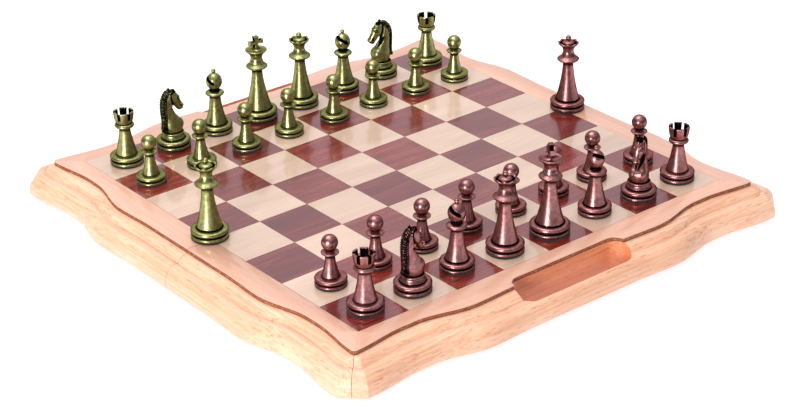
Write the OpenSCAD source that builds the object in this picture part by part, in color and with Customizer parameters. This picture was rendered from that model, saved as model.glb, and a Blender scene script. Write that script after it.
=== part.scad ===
/* [Board] */
// Side of one playing square
square = 40; // [39:0.5:42]
// Width of the border from the playing field to the plate's edge, at mid side
border_w = 19.5; // [19:0.5:22]
// Height of the case from the underside of its rails to the playing surface
case_h = 25; // [23:0.5:30]
// Thickness of the plate's fibreboard core
core_t = 2.5; // [2:0.1:3]
// Thickness of the veneers on the plate
veneer_t = 0.6; // [0.4:0.1:0.8]
// How far the moulded rail reaches beyond the plate's edge
rail_out = 19; // [17:0.5:20]
// Thickness of the wall beside the fold line
seam_w = 16; // [15:0.5:20]

/* [Wavy edge] */
// How far the edge swells out where the straight middle ends
ear_h = 1.4; // [0:0.1:2]
// How deep the hollow near each corner is
scoop_d = 6.8; // [3:0.1:7]
// How far the edge flares out again at the corner
flare_h = 4.4; // [1:0.1:5]
// Width of the plate's cut-off corner
corner_w = 5; // [3:0.5:7]

/* [Handle slots] */
// Length of the finger slot
slot_l = 98; // [80:1:110]
// Width of the finger slot
slot_w = 20.4; // [18:0.2:21]
// Radius of the slot's corners
slot_r = 9; // [6:0.5:9]

/* [Hinges] */
// Distance of each hinge from the middle of the fold line
hinge_x = 100; // [60:1:120]
// Length of a hinge
leaf_l = 45; // [35:1:50]
// Width of a hinge leaf
leaf_w = 12.5; // [11:0.5:14]
// Thickness of a hinge leaf
leaf_t = 1; // [0.8:0.1:1.2]
// Radius of the hinge knuckle
knuckle_r = 1.5; // [1.4:0.1:1.8]
// Radius of the hinge pin
pin_r = 0.75; // [0.6:0.05:0.8]

/* [Magnets and pads] */
// Radius of the closing magnets
magnet_r = 4; // [3:0.5:5]
// Radius of the felt pads under the rails
pad_r = 5.5; // [4:0.5:6]

/* [Men] */
// Height of a king
king_h = 65.5; // [62:0.5:67]
// Radius of a king's base
king_r = 13.8; // [12:0.1:14]
// Radius of a queen's base
queen_r = 13; // [12:0.1:14]
// Radius of a bishop's base
bishop_r = 11.7; // [11:0.1:12.5]
// Radius of a knight's base
knight_r = 12.6; // [12:0.1:13]
// Radius of a rook's base
rook_r = 12.2; // [11.5:0.1:13]
// Radius of a pawn's base
pawn_r = 10.8; // [10:0.1:11.5]
// Thickness of the felt disc under a man
felt_t = 1.2; // [0.8:0.1:1.6]

/* [Hidden] */
FILES = ["a", "b", "c", "d", "e", "f", "g", "h"];
RANK_MEN = ["rook", "knight", "bishop", "", "", "bishop", "knight", "rook"];
HALF_NODES = ["handle_rail", "left_rail", "right_rail", "seam_wall", "panel", "border",
              "light_squares", "dark_squares", "magnets", "hinge_leaves", "hinge_screws", "pads"];

$fn = 64;
fit_gap = 0.05;
field = 4 * square;
half_w = field + border_w;
corner_o = half_w - scoop_d + flare_h;
cut = corner_w / sqrt(2);
inner_w = field + 4;
plate_t = core_t + veneer_t;
// Thickness of the cross on a king
cross_t = 3.5;
// Share of the base radius that the stem fills
king_neck = 0.7;
pawn_neck = 0.55;
rook_neck = 0.62;
z_rail = knuckle_r;
z_top = z_rail + case_h;
z_under = z_top - plate_t;
joint_gap = 0.02;

WOOD = "#e6c290";
DARK = "#6b3528";
LIGHT = "#eadfbe";
BORDER = "#e9c3ab";
FIBRE = "#8a6650";
STEEL = "#b9b9bd";
FELT = "#17191a";
BRASS = "#84803f";
COPPER = "#8a5149";

// ---- Outline of the plate ----

function smooth(u) = u <= 0 ? 0 : u >= 1 ? 1 : (1 - cos(180 * u)) / 2;

// Distance of the plate's edge from the board's middle, at a place t along the side
function edge(t) = let (a = abs(t))
    half_w + ear_h * smooth((a / half_w - 0.25) / 0.2)
    - (scoop_d + ear_h) * smooth((a / half_w - 0.45) / 0.25)
    + flare_h * smooth((a - 0.75 * half_w) / (corner_o - 0.75 * half_w));

side_steps = 22;
half_side = [for (i = [0:side_steps]) let (t = (corner_o - cut) * i / side_steps) [t, edge(t)]];
function turned(pts) = [for (p = pts) [p.y, p.x]];
function flipped(pts) = [for (p = pts) [-p.x, p.y]];
function backwards(pts) = [for (i = [len(pts) - 1:-1:0]) pts[i]];

quarter = concat(turned(half_side), backwards(half_side));
half_outline = concat(quarter, backwards(flipped(quarter)));

// ---- Moulded rails ----

round_w = rail_out * 0.516;
foot_round = 4.5;
round_h = case_h - 7.9 - foot_round;
// Section of the moulding: distance beyond the plate's edge, height below the playing surface
moulding = concat(
    [[0, -plate_t], [2.6, -plate_t - 0.5], [5.2, -plate_t - 2], [7.5, -plate_t - 4.3],
     [8.3, -plate_t - 5.2], [8.8, -plate_t - 4.9]],
    [for (a = [0:15:75]) [rail_out - round_w + round_w * sin(a), -case_h + foot_round + round_h * cos(a)]],
    [for (a = [0:22.5:90]) [rail_out - foot_round * (1 - cos(a)), -case_h + foot_round * (1 - sin(a))]]);

// Stations along a side: place, edge distance, and the direction that the section reaches in
facet_mid = corner_o - cut / 2;
side_stations = concat(
    [for (i = [0:side_steps - 1]) [half_side[i].x, half_side[i].y, 0, 1]],
    [[half_side[side_steps].x, half_side[side_steps].y, tan(22.5), 1],
     [facet_mid, facet_mid, sin(45), sin(45)]]);
mirrored_stations = [for (i = [len(side_stations) - 1:-1:1])
    let (s = side_stations[i]) [-s[0], s[1], -s[2], s[3]]];

function rail_ring(s) = concat(
    [for (p = moulding) [s[0] + p.x * s[2], s[1] + p.x * s[3], z_top + p.y]],
    [[s[0] * inner_w / facet_mid, inner_w, z_rail], [s[0] * inner_w / facet_mid, inner_w, z_under]]);

module rail(stations) {
    ring_n = len(moulding) + 2;
    last = (len(stations) - 1) * ring_n;
    points = [for (s = stations) each rail_ring(s)];
    walls = [for (i = [0:len(stations) - 2]) for (k = [0:ring_n - 1])
        let (a = i * ring_n + k, b = i * ring_n + (k + 1) % ring_n)
        each [[a, a + ring_n, b], [b, a + ring_n, b + ring_n]]];
    polyhedron(points, concat(walls, [[for (k = [0:ring_n - 1]) k]],
        [[for (k = [ring_n - 1:-1:0]) last + k]]));
}

slot_in = 12;

module slot(z_low, z_high) {
    translate([0, field + slot_in + slot_w / 2, z_low]) linear_extrude(z_high - z_low) {
        square([slot_l - 2 * slot_r, slot_w], center = true);
        square([slot_l, slot_w - 2 * slot_r], center = true);
        for (x = [-1, 1], y = [-1, 1])
            translate([x * (slot_l / 2 - slot_r), y * (slot_w / 2 - slot_r)]) circle(slot_r);
    }
}

magnet_x = 110;
magnet_y = field + 16;
magnet_t = 3;

module handle_rail() {
    color(WOOD) difference() {
        rail(concat(mirrored_stations, side_stations));
        slot(z_rail - 1, z_top);
        for (x = [-magnet_x, magnet_x])
            translate([x, magnet_y, z_rail - 1]) cylinder(r = magnet_r + fit_gap, h = magnet_t + 1);
    }
}

module right_rail() { color(WOOD) mirror([1, -1, 0]) rail(side_stations); }
module left_rail() { mirror([1, 0, 0]) right_rail(); }

// ---- Fold line: wall, hinges, screws ----

leaf_clear = knuckle_r + 0.3;
screw_r = 1;
screw_head_r = 1.9;
screw_l = 9;
screw_y = 7.5;
screw_xs = [for (h = [-hinge_x, hinge_x]) for (dx = [-0.36, 0, 0.36]) h + dx * leaf_l];

module seam_wall() {
    color(WOOD) difference() {
        translate([-inner_w, 0, z_rail]) cube([2 * inner_w, seam_w, z_under - z_rail]);
        for (h = [-hinge_x, hinge_x]) {
            translate([h - leaf_l / 2, -1, z_rail - 1]) cube([leaf_l, leaf_w + 1, leaf_t + 1]);
            translate([h - leaf_l / 2, 0, z_rail]) rotate([0, 90, 0]) cylinder(r = leaf_clear, h = leaf_l);
        }
        for (x = screw_xs)
            translate([x, screw_y, z_rail]) cylinder(r = screw_r, h = screw_l + 0.5);
    }
}

knuckles = 5;
knuckle_l = leaf_l / knuckles;

// Leaves for one half; the knuckles with the given remainder belong to it
module hinge_leaves(first) {
    color(STEEL) for (h = [-hinge_x, hinge_x]) difference() {
        union() {
            translate([h - leaf_l / 2, leaf_clear, z_rail]) cube([leaf_l, leaf_w - leaf_clear, leaf_t]);
            for (k = [first:2:knuckles - 1])
                translate([h - leaf_l / 2 + k * knuckle_l + joint_gap, 0, z_rail]) {
                    cube([knuckle_l - 2 * joint_gap, leaf_clear + 1, leaf_t]);
                    rotate([0, 90, 0]) cylinder(r = knuckle_r, h = knuckle_l - 2 * joint_gap);
                }
        }
        translate([h - leaf_l, 0, z_rail]) rotate([0, 90, 0]) cylinder(r = pin_r + fit_gap, h = 2 * leaf_l);
        for (x = screw_xs)
            translate([x, screw_y, z_rail]) rotate_extrude() polygon(screw_section(1));
    }
}

// Half section of a countersunk screw, head down; reach runs it past the leaf for a cutter
function screw_section(reach) = [[0, -reach], [screw_head_r, -reach], [screw_head_r, 0],
    [screw_r, leaf_t - 0.1], [screw_r, leaf_t + reach], [0, leaf_t + reach]];

module hinge_screws() {
    color(STEEL) for (x = screw_xs) translate([x, screw_y, z_rail])
        rotate_extrude() polygon([[0, 0.2], [0.6, 0.2], [0.6, 0], [screw_head_r, 0],
            [screw_r, leaf_t - 0.1], [screw_r, screw_l - 2], [0, screw_l]]);
}

module hinge_pins() {
    color(STEEL) for (h = [-hinge_x, hinge_x])
        translate([h - leaf_l / 2, 0, z_rail]) rotate([0, 90, 0]) cylinder(r = pin_r, h = leaf_l);
}

// ---- Plate ----

module panel() {
    color(FIBRE) difference() {
        translate([0, 0, z_under]) linear_extrude(core_t) polygon(half_outline);
        slot(z_under - 1, z_top);
    }
}

module border() {
    color(BORDER) difference() {
        translate([0, 0, z_top - veneer_t]) linear_extrude(veneer_t) polygon(half_outline);
        translate([-field, -1, z_top - 1]) cube([2 * field, field + 1, 2]);
        slot(z_top - 1, z_top + 1);
    }
}

// Squares of one half whose file and rank add up to the given remainder of two
module squares(remainder, tone) {
    color(tone) for (i = [0:7], j = [0:3]) if ((i + j) % 2 == remainder)
        translate([i * square - field + joint_gap, j * square + joint_gap, z_top - veneer_t])
            cube([square - 2 * joint_gap, square - 2 * joint_gap, veneer_t]);
}

// ---- Small fittings under the rails ----

module magnets() {
    color(STEEL) for (x = [-magnet_x, magnet_x])
        translate([x, magnet_y, z_rail]) cylinder(r = magnet_r, h = magnet_t);
}

module pads(xs) {
    color(FELT) for (x = xs, s = [-1, 1])
        translate([s * x, magnet_y, 0]) cylinder(r = pad_r, h = z_rail);
}

// ---- Men ----

// Turned foot that every man has, from the felt up to the stem; neck is the stem's share of its radius
function foot(r, neck = 0.67) = let (k = r / 13) concat(
    [[0, felt_t], [0.95 * r, felt_t], [r, 1.8 * k], [r, 2.8 * k], [0.96 * r, 3.4 * k],
     [0.92 * r, 3.7 * k], [0.92 * r, 4.4 * k]],
    [for (a = [-60:30:90]) [r - 1.9 * k + 1.9 * k * cos(a), (6 + 1.8 * sin(a)) * k]],
    [[(neck + 0.05) * r, 7.7 * k], [(neck - 0.01) * r, 7.5 * k], [(neck - 0.01) * r, 8.2 * k],
     [neck * r, 8.8 * k]]);

// Stem that narrows from the foot to radius r1 at height z1; bend is 1 for a straight cone
function stem(r, r1, z1, neck = 0.67, bend = 1.6) = let (z0 = 8 * r / 13, r0 = 0.99 * neck * r)
    [for (i = [1:7]) let (z = z0 + (z1 - z0) * i / 7) [r1 + (r0 - r1) * pow(1 - i / 7, bend), z]];

// Round bead of radius b about [r, z], drawn from angle a0 to a1
function bead(r, z, b, a0, a1) = [for (i = [0:6]) let (a = a0 + (a1 - a0) * i / 6)
    [r + b * cos(a), z + b * sin(a)]];

module turned_man(profile) {
    rotate_extrude() polygon(profile);
}

module felt_disc(r) {
    color(FELT) cylinder(r = 0.96 * r, h = felt_t - joint_gap);
}

// Spool under a crown: collar, waist and flaring cup up to radius cup_r at height z + 13.5
function spool(z, collar_r, waist_r, cup_r) = [
    [0.75 * collar_r, z + 1], [collar_r, z + 2.6], [collar_r, z + 3.6], [0.75 * collar_r, z + 5],
    [1.2 * waist_r, z + 6.8], [waist_r, z + 9], [1.1 * waist_r, z + 11], [0.7 * cup_r, z + 12.9],
    [0.92 * cup_r, z + 14], [cup_r, z + 15], [cup_r, z + 15.8], [0.93 * cup_r, z + 16.2]];

module king() {
    z = king_h - 28;
    turned_man(concat(foot(king_r, king_neck), stem(king_r, 3.8, z, king_neck),
        spool(z + 1.6, 8.1, 4.2, 8.1),
        [[7.1, z + 17.8], [6.2, z + 17.4], [3.4, z + 17.8], [2.2, z + 19.3], [1.9, z + 20], [0, z + 20]]));
    arm = 5.8;
    translate([0, cross_t / 2, king_h - 9]) rotate([90, 0, 0]) linear_extrude(cross_t) polygon([
        [-2.3, 0], [2.3, 0], [1.4, 3.3], [arm, 2.6], [arm, 6.2], [1.4, 5.6],
        [2.2, 9], [-2.2, 9], [-1.4, 5.6], [-arm, 6.2], [-arm, 2.6], [-1.4, 3.3]]);
}

module queen() {
    turned_man(concat(foot(queen_r), stem(queen_r, 3.65, 36.8), spool(37.4, 8.2, 3.9, 7.5),
        [[5.8, 52.6], [4.7, 52.4], [4.5, 53.2], [3.6, 54.4], [1.9, 55.2]], bead(0, 56.2, 2, -30, 90)));
}

module bishop() {
    difference() {
        turned_man(concat(foot(bishop_r), stem(bishop_r, 4, 28.5),
            [[5.4, 29.4], [6.9, 30.8], [6.9, 31.6], [4.2, 32.8], [3, 33.6], [3.1, 34.4], [4.8, 36],
             [5.7, 38], [5.9, 39.8], [5.5, 42], [4.3, 44.4], [2.7, 46.1], [1.8, 47]],
            bead(0, 48.2, 1.8, -30, 90)));
        translate([0, 0, 42.6]) rotate([0, -30, 0]) translate([-4.4, -8, -1.1]) cube([13, 16, 2.2]);
    }
}

module rook() {
    difference() {
        turned_man(concat(foot(rook_r, rook_neck), stem(rook_r, 3.9, 26.8, rook_neck, 1.3),
            [[4.7, 28], [6.4, 28.8], [7, 29.6], [7, 30.5], [6.1, 31.4], [5.9, 32.3], [6.5, 33.6], [7, 35.4],
             [7.5, 40.4], [5.8, 40.4], [5.4, 34.8], [0, 34.8]]));
        for (a = [0, 60, 120]) rotate([0, 0, a]) translate([-8, -1.1, 35]) cube([16, 2.2, 6]);
    }
}

module pawn() {
    turned_man(concat(foot(pawn_r, pawn_neck), stem(pawn_r, 3.1, 21.2, pawn_neck),
        [[4.6, 22.4], [5.9, 23.4], [5.9, 24], [3.4, 24.9], [2.7, 25.6]], bead(0, 30.5, 5.5, -62, 90)));
}

module knight() {
    turned_man(concat(foot(knight_r), [[0.6 * knight_r, 9], [0.57 * knight_r, 10.4], [0.6 * knight_r, 11.4],
        [0.65 * knight_r, 12], [0.62 * knight_r, 12.8], [0, 12.8]]));
    translate([0, 4.4, 12.8]) rotate([90, 0, 0]) linear_extrude(8.8) polygon([
        [-6, 0], [6.4, 0], [8.5, 3.2], [8.6, 6.1], [7.2, 9.1], [4.7, 11.8], [2.8, 14.8], [2.2, 17.8],
        [4.4, 17.4], [7.2, 14.3], [9.6, 14.6], [10.5, 16.6], [8.2, 20.5], [6.2, 24.7], [4.6, 28.5],
        [3.6, 31], [1, 32.5], [-0.6, 33.2], [-2, 31.9], [-5.6, 29.4], [-8.8, 26], [-10.3, 21.3],
        [-10.6, 16.1], [-9.8, 9.5], [-9.6, 5.1], [-11.2, 1.7], [-8.6, 2.1], [-6.8, 4.8]]);
}

module man(kind, metal, turn) {
    r = kind == "king" ? king_r : kind == "bishop" ? bishop_r : kind == "knight" ? knight_r
        : kind == "rook" ? rook_r : kind == "pawn" ? pawn_r : queen_r;
    felt_disc(r);
    color(metal == "copper" ? COPPER : BRASS) rotate([0, 0, turn]) {
        if (kind == "king") king();
        if (kind == "queen") queen();
        if (kind == "bishop") bishop();
        if (kind == "knight") knight();
        if (kind == "rook") rook();
        if (kind == "pawn") pawn();
    }
}

// Man in the middle of the square on file i and rank j
module on_square(i, j) {
    translate([(i - 3.5) * square, (j - 3.5) * square, z_top]) children();
}

module on_half(half) {
    mirror([0, half == "front" ? 1 : 0, 0]) children();
}

// ---- Board ----

for (half = ["front", "back"]) on_half(half) {
    is_front = half == "front";
    handle_rail();
    left_rail();
    right_rail();
    seam_wall();
    panel();
    border();
    squares(is_front ? 0 : 1, LIGHT);
    squares(is_front ? 1 : 0, DARK);
    magnets();
    hinge_leaves(is_front ? 0 : 1);
    hinge_screws();
    pads(is_front ? [72, 150] : [86, 136]);
}
hinge_pins();

// ---- Men on the board ----

// Turn about the vertical of the men that are not set square; a knight at 0 looks towards +X
TURNS = [["copper_knight_b", 8], ["copper_knight_g", 205], ["brass_knight_b", 6], ["brass_knight_g", 165],
         ["copper_king", 60], ["brass_bishop_c", 95], ["brass_bishop_f", 141], ["copper_bishop_c", 120],
         ["copper_bishop_f", 198], ["brass_rook_a", 30], ["brass_rook_h", 54], ["copper_rook_a", 22],
         ["copper_rook_h", 21]];
// How far each man stands from the middle of its square
SHIFTS = [
    ["copper_rook_a", [0.5, -1]], ["copper_knight_b", [-1.5, -1.5]], ["copper_bishop_c", [-1, 2.5]],
    ["copper_bishop_f", [1, 1]], ["copper_knight_g", [0.5, -1.5]], ["copper_rook_h", [0.5, 0.5]],
    ["copper_pawn_a", [3.5, -1.5]], ["copper_pawn_b", [2, 0.5]], ["copper_pawn_c", [0, -1]],
    ["copper_pawn_d", [0.5, 1]], ["copper_pawn_e", [-1, -0.5]], ["copper_pawn_f", [0, 1]],
    ["copper_pawn_g", [-3.5, 1]], ["copper_pawn_h", [0, -1.5]], ["brass_rook_a", [2.5, -1]],
    ["brass_knight_b", [3, -0.5]], ["brass_bishop_c", [2, 0.5]], ["brass_bishop_f", [-0.5, -2]],
    ["brass_knight_g", [-0.5, 2]], ["brass_rook_h", [2, -3]], ["brass_pawn_a", [-1.5, 1]],
    ["brass_pawn_b", [0.5, -0.5]], ["brass_pawn_c", [1.5, 1.5]], ["brass_pawn_d", [0, 1.5]],
    ["brass_pawn_e", [0.5, -0.5]], ["brass_pawn_f", [0, 2]], ["brass_pawn_g", [-1, -1.5]],
    ["brass_pawn_h", [-2.5, -2]], ["copper_king", [-2, -0.5]], ["copper_queen", [-2, -0.5]],
    ["brass_king", [0, -0.5]], ["brass_queen", [-1.5, -2]]];
function listed(table, name, otherwise) = let (found = [for (row = table) if (row[0] == name) row[1]])
    len(found) > 0 ? found[0] : otherwise;

module named_man(name, kind, metal) {
    translate(concat(listed(SHIFTS, name, [0, 0]), [0]))
        man(kind, metal, listed(TURNS, name, 0));
}

for (metal = ["copper", "brass"]) {
    back_rank = metal == "copper" ? 0 : 7;
    pawn_rank = metal == "copper" ? 1 : 6;
    for (i = [0:7]) {
        if (RANK_MEN[i] != "") on_square(i, back_rank)
            named_man(str(metal, "_", RANK_MEN[i], "_", FILES[i]), RANK_MEN[i], metal);
        on_square(i, pawn_rank) named_man(str(metal, "_pawn_", FILES[i]), "pawn", metal);
    }
    on_square(metal == "copper" ? 4 : 3, back_rank) named_man(str(metal, "_king"), "king", metal);
    on_square(metal == "copper" ? 3 : 4, back_rank) named_man(str(metal, "_queen"), "queen", metal);
}
translate([field + 5.6, -0.5, z_top]) named_man("copper_spare_queen", "queen", "copper");
translate([2 - field, 4, z_top]) named_man("brass_spare_queen", "queen", "brass");
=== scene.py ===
"""Looks of a folding chess board with its metal men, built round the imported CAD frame."""

import math
import random

import bmesh
import bpy
import numpy as np
from mathutils import Matrix, Vector, noise
from mathutils.bvhtree import BVHTree


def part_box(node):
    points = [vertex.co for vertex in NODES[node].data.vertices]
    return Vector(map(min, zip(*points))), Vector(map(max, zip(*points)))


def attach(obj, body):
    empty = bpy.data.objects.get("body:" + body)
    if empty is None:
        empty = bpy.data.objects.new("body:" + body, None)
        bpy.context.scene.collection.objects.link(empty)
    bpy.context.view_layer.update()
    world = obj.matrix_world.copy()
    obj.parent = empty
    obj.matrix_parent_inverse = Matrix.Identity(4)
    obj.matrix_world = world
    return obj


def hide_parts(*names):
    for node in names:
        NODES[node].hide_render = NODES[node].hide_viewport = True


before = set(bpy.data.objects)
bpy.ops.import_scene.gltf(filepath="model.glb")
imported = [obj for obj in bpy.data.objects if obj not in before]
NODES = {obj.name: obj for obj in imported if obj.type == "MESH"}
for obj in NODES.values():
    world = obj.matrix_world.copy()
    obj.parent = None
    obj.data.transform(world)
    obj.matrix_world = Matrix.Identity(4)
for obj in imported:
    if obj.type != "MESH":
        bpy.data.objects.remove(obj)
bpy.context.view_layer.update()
MM = 0.001

# ---- Dimensions in millimetres, as in the CAD model ----

HALF_W = 179.5
EAR_H, SCOOP_D, FLARE_H = 1.4, 6.8, 4.4
CORNER_W = 5.0
RAIL_OUT = 19.0
INNER_W = 164.0
SEAM_W = 16.0
FIELD = 160.0
SQUARE = 40.0
SLOT_L, SLOT_W, SLOT_R, SLOT_IN = 98.0, 20.4, 9.0, 172.0
Z_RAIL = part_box("front_left_rail")[0].z / MM
Z_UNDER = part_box("front_left_rail")[1].z / MM
Z_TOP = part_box("front_border")[1].z / MM
VENEER_T = Z_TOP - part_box("front_border")[0].z / MM
CASE_H = Z_TOP - Z_RAIL
PLATE_T = Z_TOP - Z_UNDER
# Half the gap at the fold line
SEAM_GAP = 0.22
CORNER_O = HALF_W - SCOOP_D + FLARE_H
CUT = CORNER_W / math.sqrt(2)
FACET_MID = CORNER_O - CUT / 2
SIDE_STEPS = 110
BODIES = {"front": "root", "back": "back_board"}
# Heights just past the board, for the tools that cut through it
BELOW, ABOVE = -5.0, Z_TOP + 5.0


def smooth(u):
    u = min(1.0, max(0.0, u))
    return (1 - math.cos(math.pi * u)) / 2


def edge(t):
    """How far the plate's edge is from the middle of the board, at a place t along a side."""
    a = abs(t)
    return (HALF_W + EAR_H * smooth((a / HALF_W - 0.25) / 0.2)
            - (SCOOP_D + EAR_H) * smooth((a / HALF_W - 0.45) / 0.25)
            + FLARE_H * smooth((a - 0.75 * HALF_W) / (CORNER_O - 0.75 * HALF_W)))


# ---- Mesh helpers ----

def show(name, data):
    """New object in the scene that shows a mesh, a light or a camera."""
    obj = bpy.data.objects.new(name, data)
    bpy.context.scene.collection.objects.link(obj)
    return obj


def new_object(name, verts, faces, scale=MM):
    mesh = bpy.data.meshes.new(name)
    mesh.from_pydata([tuple(c * scale for c in v) for v in verts], [], faces)
    mesh.update()
    return show(name, mesh)


def paint(obj, material):
    obj.data.materials.clear()
    obj.data.materials.append(material)


def tidy_normals(obj):
    bm = bmesh.new()
    bm.from_mesh(obj.data)
    bmesh.ops.remove_doubles(bm, verts=bm.verts, dist=1e-7)
    bmesh.ops.dissolve_degenerate(bm, edges=bm.edges, dist=1e-7)
    bmesh.ops.recalc_face_normals(bm, faces=bm.faces)
    bm.to_mesh(obj.data)
    bm.free()


def soften(obj, angle):
    """Smooth shading, with edges sharper than angle kept crisp."""
    obj.data.shade_smooth()
    obj.data.set_sharp_from_angle(angle=math.radians(angle))
    return obj


def apply_modifiers(obj):
    depsgraph = bpy.context.evaluated_depsgraph_get()
    mesh = bpy.data.meshes.new_from_object(obj.evaluated_get(depsgraph))
    obj.modifiers.clear()
    obj.data = mesh
    return obj


def boolean(obj, tool, operation="DIFFERENCE"):
    """Cuts the tool from obj, or joins it on, and removes the tool."""
    cut = obj.modifiers.new("cut", "BOOLEAN")
    cut.operation = operation
    cut.solver = "EXACT"
    cut.object = tool
    apply_modifiers(obj)
    bpy.data.objects.remove(tool)
    return obj


def bevelled(obj, width, segments, angle):
    """Rounds the edges sharper than angle by width, in millimetres."""
    bevel = obj.modifiers.new("bevel", "BEVEL")
    bevel.width = width * MM
    bevel.segments = segments
    bevel.limit_method = "ANGLE"
    bevel.angle_limit = math.radians(angle)
    bevel.harden_normals = False
    return apply_modifiers(obj)


def prism(name, outline, z0, z1):
    """Upright solid between two heights with that outline."""
    n = len(outline)
    verts = [(x, y, z0) for x, y in outline] + [(x, y, z1) for x, y in outline]
    faces = [(i, (i + 1) % n, n + (i + 1) % n, n + i) for i in range(n)]
    faces += [tuple(range(n - 1, -1, -1)), tuple(range(n, 2 * n))]
    obj = new_object(name, verts, faces)
    tidy_normals(obj)
    return obj


def box_solid(name, lo, hi):
    """Box between two corners."""
    return prism(name, [(lo[0], lo[1]), (hi[0], lo[1]), (hi[0], hi[1]), (lo[0], hi[1])], lo[2], hi[2])


def finish_piece(obj, half, material, node=None, crease=35):
    """Takes a piece modelled in the back half to its own half, and gives it its looks and its body."""
    if half == "front":
        obj.data.transform(Matrix.Diagonal((1, -1, 1, 1)))
        obj.data.flip_normals()
    paint(soften(obj, crease), material)
    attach(obj, BODIES[half])
    if node:
        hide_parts(f"{half}_{node}")


# ---- Node material helpers ----

class Nodes:
    """Small builder for the node tree of a material, or of the world."""

    def __init__(self, name, world=None):
        self.material = bpy.data.materials.new(name) if world is None else world
        self.material.use_nodes = True
        self.tree = self.material.node_tree
        self.shader = self.tree.nodes["Principled BSDF" if world is None else "Background"]

    def add(self, kind, **values):
        node = self.tree.nodes.new(kind)
        for key, value in values.items():
            setattr(node, key, value)
        return node

    def link(self, out, to):
        self.tree.links.new(out, to)

    def feed(self, socket, value):
        """Links a socket to a node's output, or sets it to a number, a vector or a colour."""
        if isinstance(value, bpy.types.NodeSocket):
            self.link(value, socket)
        elif isinstance(value, tuple) and socket.type == "RGBA":
            socket.default_value = (*value, 1)
        else:
            socket.default_value = value

    def coords(self, scale=(1, 1, 1), offset=None, rotation=(0, 0, 0), source=None):
        mapping = self.add("ShaderNodeMapping")
        mapping.inputs["Scale"].default_value = scale
        mapping.inputs["Rotation"].default_value = rotation
        self.link(source or self.add("ShaderNodeTexCoord").outputs["Object"], mapping.inputs["Vector"])
        return mapping.outputs[0] if offset is None else self.vector("ADD", mapping.outputs[0], offset)

    def vector(self, operation, *values):
        node = self.add("ShaderNodeVectorMath", operation=operation)
        for socket, value in zip(node.inputs, values):
            self.feed(socket, value)
        return node.outputs["Value" if operation == "DOT_PRODUCT" else "Vector"]

    def noise(self, vector, scale, detail=3, roughness=0.5, distortion=0.0):
        node = self.add("ShaderNodeTexNoise")
        node.inputs["Scale"].default_value = scale
        node.inputs["Detail"].default_value = detail
        node.inputs["Roughness"].default_value = roughness
        node.inputs["Distortion"].default_value = distortion
        self.link(vector, node.inputs["Vector"])
        return node.outputs["Fac"]

    def ramp(self, value, *stops):
        node = self.add("ShaderNodeValToRGB")
        elements = node.color_ramp.elements
        while len(elements) < len(stops):
            elements.new(0.5)
        for element, (place, colour) in zip(elements, stops):
            element.position = place
            element.color = (*colour, 1) if isinstance(colour, tuple) else (colour, colour, colour, 1)
        self.link(value, node.inputs["Fac"])
        return node.outputs["Color"]

    def mix(self, factor, a, b, blend="MIX"):
        node = self.add("ShaderNodeMix", data_type="RGBA", blend_type=blend)
        for socket, value in (("Factor", factor), ("A", a), ("B", b)):
            self.feed(node.inputs[socket], value)
        return node.outputs["Result"]

    def math(self, operation, *values):
        node = self.add("ShaderNodeMath", operation=operation)
        for socket, value in zip(node.inputs, values):
            self.feed(socket, value)
        return node.outputs[0]

    def bump(self, height, strength, distance):
        node = self.add("ShaderNodeBump")
        node.inputs["Strength"].default_value = strength
        node.inputs["Distance"].default_value = distance
        self.link(height, node.inputs["Height"])
        self.link(node.outputs[0], self.shader.inputs["Normal"])

    def set(self, **values):
        """Sets the shader's own sockets, named with underscores for spaces."""
        for key, value in values.items():
            self.feed(self.shader.inputs[key.replace("_", " ")], value)


def separate(n, vector):
    """The three parts of a vector."""
    node = n.add("ShaderNodeSeparateXYZ")
    n.link(vector, node.inputs[0])
    return node.outputs


def place(n):
    """The x, y and z of a point on the board."""
    return separate(n, n.add("ShaderNodeTexCoord").outputs["Object"])


# Painted shade: colour that darkens the finger slots' walls to a deeper orange
SLOT_SHADE_TINT = (0.90, 0.56, 0.38)
CELL_SHIFT = 37.0


def rail_wood(along):
    """Pale orange beech with fine streaks and short dark flecks along the rail, and painted shade on the
    walls of the finger slots.
    """
    n = Nodes("rail_beech_" + along)
    turned = n.coords(rotation=(0, 0, 0 if along == "x" else math.radians(90)))
    broad = n.noise(n.coords((3, 16, 22), source=turned), 1.6, 4, 0.55, 0.6)
    streaks = n.noise(n.coords((8, 260, 260), source=turned), 2.2, 4, 0.6, 0.5)
    flecks = n.noise(n.coords((140, 1000, 1000), source=turned), 1.0, 2, 0.5, 0.2)
    tone = n.ramp(broad, (0.25, (0.67, 0.37, 0.225)), (0.5, (0.80, 0.485, 0.32)),
                  (0.75, (0.88, 0.62, 0.44)))
    tone = n.mix(n.ramp(streaks, (0.38, 0.9), (0.60, 0.0)), tone, (0.68, 0.34, 0.20))
    dark = n.ramp(flecks, (0.30, 1.0), (0.39, 0.0))
    tone = n.mix(n.math("MULTIPLY", dark, 0.65), tone, (0.42, 0.18, 0.08))
    if along == "x":
        # Painted shade on the finger slots' walls
        tone = n.mix(slot_shade_mask(n), tone, SLOT_SHADE_TINT, "MULTIPLY")
    n.set(Base_Color=tone, Roughness=n.ramp(streaks, (0.3, 0.42), (0.7, 0.54)),
          Coat_Weight=0.4, Coat_Roughness=0.24, Specular_IOR_Level=0.5)
    n.bump(n.math("SUBTRACT", streaks, n.math("MULTIPLY", dark, 0.6)), 0.25, 0.0003)
    return n.material


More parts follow.
